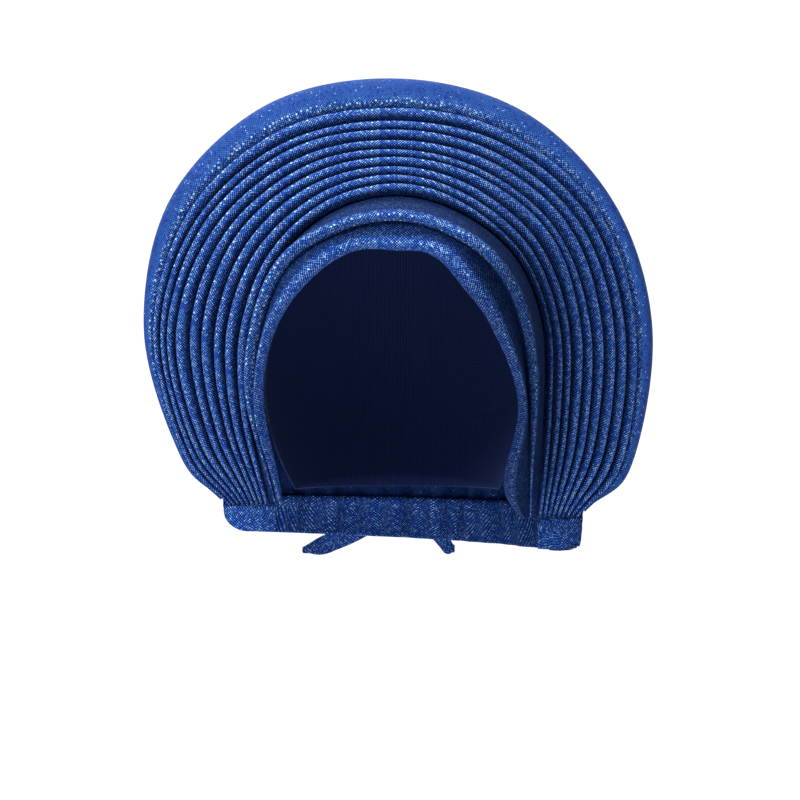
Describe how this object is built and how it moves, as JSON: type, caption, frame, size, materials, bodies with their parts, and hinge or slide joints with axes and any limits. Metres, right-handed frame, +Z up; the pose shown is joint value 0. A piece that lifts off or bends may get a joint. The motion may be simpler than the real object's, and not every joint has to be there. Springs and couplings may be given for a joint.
{
  "type": "tied gele head tie",
  "caption": "Royal blue gele head tie, held in its worn form: pleated fan round an open face, brow folds, cap, rounded back drape, side gathers and a tie at the nape.",
  "frame": {"origin": "crown seat: the point where the inside of the cap rests on the top of the head", "axes": "+Z up, -Y out of the face opening, +X to the right of someone who faces the opening"},
  "size_m": [0.2784, 0.2004, 0.2637],
  "materials": {
    "gele_cloth": "royal blue woven cloth with metallic thread",
    "cap_cloth": "deep blue woven cloth, the inside of the wrap",
    "tie_cloth": "royal blue woven cloth with metallic thread"
  },
  "bodies": {
    "root": {"under_cap": "cap_cloth", "brow_band": "gele_cloth", "upper_fold": "gele_cloth", "pleated_fan": "gele_cloth", "back_drape": "gele_cloth", "nape_band": "gele_cloth", "left_cuff": "gele_cloth", "right_cuff": "gele_cloth", "nape_knot": "tie_cloth", "left_tail": "tie_cloth", "right_tail": "tie_cloth"}
  },
  "joints": []
}
